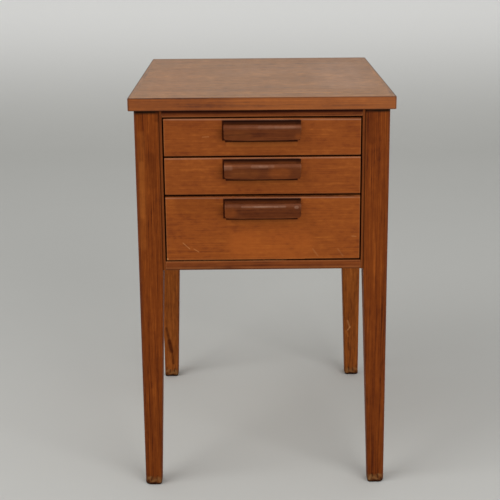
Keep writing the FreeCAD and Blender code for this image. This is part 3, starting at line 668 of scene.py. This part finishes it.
def lipping_marks(node, left, right, y):
    """The dark rim of a lipping, the shade along the top's back, and the front's own marks."""
    if node.endswith("front"):
        rim = ((left, y, TOP), (right, y, TOP), 1.7 * MM, NICK_AND_GAP_SHADE, 0.5)
        return [rim, BACK_SHADE, *strokes(MARKS[node], y, TOP)]
    x = left if node.endswith("left") else right
    return [((x, y, TOP), (x, -y, TOP), 2.8 * MM, NICK_AND_GAP_SHADE, 0.5), BACK_SHADE]


def marks_of(node):
    """Scratches, nicks, stains and rubbed places, and painted highlights, light and shade: start,
    end, radius, colour, strength.
    """
    (x0, y, z0), (x1, _, z1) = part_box(node)
    if node.startswith(("leg_front", "leg_rear")):
        return leg_marks(node, y)
    if node.endswith("_drawer_front"):
        return front_marks(node, y, z1)
    if node.endswith("_pull"):
        lip = z0 + 20.4 * MM
        # A painted highlight along the lip, partly rubbed wear
        rubbed_highlight = ((x0, y + 1 * MM, lip), (x1, y + 1 * MM, lip), 4.6 * MM, RUBBED_HIGHLIGHT, 0.14)
        return [rubbed_highlight, *strokes(MARKS[node], y, z0)]
    if node == "bottom_front_rail":
        # Painted light on the rail's top face where it shows in the gap, and a faint light line
        # along its front
        ledge = y + 5 * MM
        line = z0 + 3 * MM
        return [((x0, ledge, z1), (30 * MM, ledge, z1), 5 * MM, SCRATCH_AND_LIGHT, 0.8),
                ((x0, y, line), (x1, y, line), 1.6 * MM, SCRATCH_AND_LIGHT, 0.12)]
    if node.startswith("top_lipping"):
        return lipping_marks(node, x0, x1, y)
    if node == "top_board":
        return [BACK_SHADE] + [
            ((a * MM, near * MM, TOP), (b * MM, far * MM, TOP), radius * MM, colour, strength)
            for a, near, b, far, radius, colour, strength in TOP_PATCHES]
    return []


def wear_box(node):
    """The box whose edges are worn on a node: for the top's pieces, that of the whole top."""
    if not node.startswith(("top_board", "top_lipping")):
        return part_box(node)
    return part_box("top_lipping_front")[0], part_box("top_lipping_back")[1]


for number, (node, piece) in enumerate(sorted(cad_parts.items())):
    look = look_of(node)
    if look is None:
        material = steel(f"{node}_steel")
    else:
        # The lippings' upper faces take the top's paler colour, partly a painted sheen
        face_up = ("top", TOP) if node.startswith("top_lipping") else None
        material = wood(f"{node}_wood", *look, wear_box(node), number, shade_and_grime_of(node),
                        marks_of(node), face_up)
    piece.data.materials.clear()
    piece.data.materials.append(material)


# Floor and backdrop: one pale sheet that curves up behind

FLOOR_GREY = srgb(196, 196, 192)
FLOOR_SHADE = srgb(150, 150, 150)
FLOOR_SCALE = (3.0, 3.0, 3.0)
UNEVENNESS = 0.06
WALL_WHITE = srgb(246, 246, 244)
WHITE_FROM = 0.5


def backdrop_surface():
    """A matt surface, barely uneven and grey on the floor, and white higher up."""
    graph = Graph("backdrop_grey")
    x, y, z = graph.coordinates()
    tone = graph.noise(graph.vector(x, y, z), FLOOR_SCALE, detail=3.0, roughness=0.5)
    floor = graph.lay_over(FLOOR_GREY, tone, UNEVENNESS, FLOOR_SHADE)
    graph.set(graph.shader, "Base Color",
              graph.mix(graph.ramp_value(z, 0.0, WHITE_FROM), floor, WALL_WHITE))
    graph.shader.inputs["Roughness"].default_value = 0.9
    graph.shader.inputs["Specular IOR Level"].default_value = 0.2
    return graph.material


def backdrop():
    """A floor that sweeps up into a wall well behind the nightstand."""
    half_width = 6.0
    front = -4.0
    turn = 2.4
    radius = 0.8
    top = 3.4
    steps = 12
    profile = [(front, 0.0), (turn, 0.0)]
    for step in range(1, steps + 1):
        angle = math.pi / 2 * step / steps
        profile.append((turn + radius * math.sin(angle), radius * (1 - math.cos(angle))))
    profile.append((turn + radius, top))
    corners = [(side * half_width, y, z) for y, z in profile for side in (-1, 1)]
    faces = [(2 * n, 2 * n + 1, 2 * n + 3, 2 * n + 2) for n in range(len(profile) - 1)]
    mesh = bpy.data.meshes.new("backdrop")
    mesh.from_pydata(corners, [], faces)
    for face in mesh.polygons:
        face.use_smooth = True
    sheet = bpy.data.objects.new("backdrop", mesh)
    sheet.data.materials.append(backdrop_surface())
    bpy.context.scene.collection.objects.link(sheet)


backdrop()


# Light: a large soft box to the upper right, a weaker one to the left, and an even surround

LIGHT_SIZE = 1.8
LIGHT_AIM = Vector((0, 0, 0.3))
SURROUND_LEVEL = 0.55


def soft_box(name, place, power):
    """A square area light aimed at the middle of the nightstand."""
    light = bpy.data.lights.new(name, "AREA")
    light.size = LIGHT_SIZE
    light.energy = power
    lamp = bpy.data.objects.new(name, light)
    lamp.location = place
    lamp.rotation_euler = (LIGHT_AIM - Vector(place)).to_track_quat("-Z", "Y").to_euler()
    bpy.context.scene.collection.objects.link(lamp)


soft_box("key_light", (1.4, -2.4, 1.5), 37)
soft_box("fill_light", (-1.8, -1.3, 2.3), 30)

world = bpy.data.worlds.new("surround")
world.use_nodes = True
surround = world.node_tree.nodes["Background"]
surround.inputs["Color"].default_value = (1.0, 1.0, 1.0, 1.0)
surround.inputs["Strength"].default_value = SURROUND_LEVEL
bpy.context.scene.world = world


# Camera, as fitted to edges of the photograph: angles in radians, lens and shifts in widths

CAMERA_PLACE = (-17.05 * MM, -1896.75 * MM, 823.2 * MM)
CAMERA_PITCH = 0.2646
CAMERA_YAW = 0.0118
CAMERA_ROLL = 0.0067
FOCAL_IN_IMAGE_WIDTHS = 1216.0 / 500
SHIFT_ACROSS = -0.03
SHIFT_UP = -0.0103

camera_data = bpy.data.cameras.new("camera")
camera_data.sensor_width = 36
camera_data.lens = camera_data.sensor_width * FOCAL_IN_IMAGE_WIDTHS
camera_data.shift_x = SHIFT_ACROSS
camera_data.shift_y = SHIFT_UP
camera_data.clip_start = 0.05
camera_data.clip_end = 50
camera = bpy.data.objects.new("camera", camera_data)
aim = Matrix.Rotation(-CAMERA_YAW, 4, "Z") @ Matrix.Rotation(math.pi / 2 - CAMERA_PITCH, 4, "X")
camera.matrix_world = (Matrix.Translation(CAMERA_PLACE) @ aim
                       @ Matrix.Rotation(-CAMERA_ROLL, 4, "Z"))
bpy.context.scene.collection.objects.link(camera)
bpy.context.scene.camera = camera

bpy.context.scene.view_settings.view_transform = "Standard"
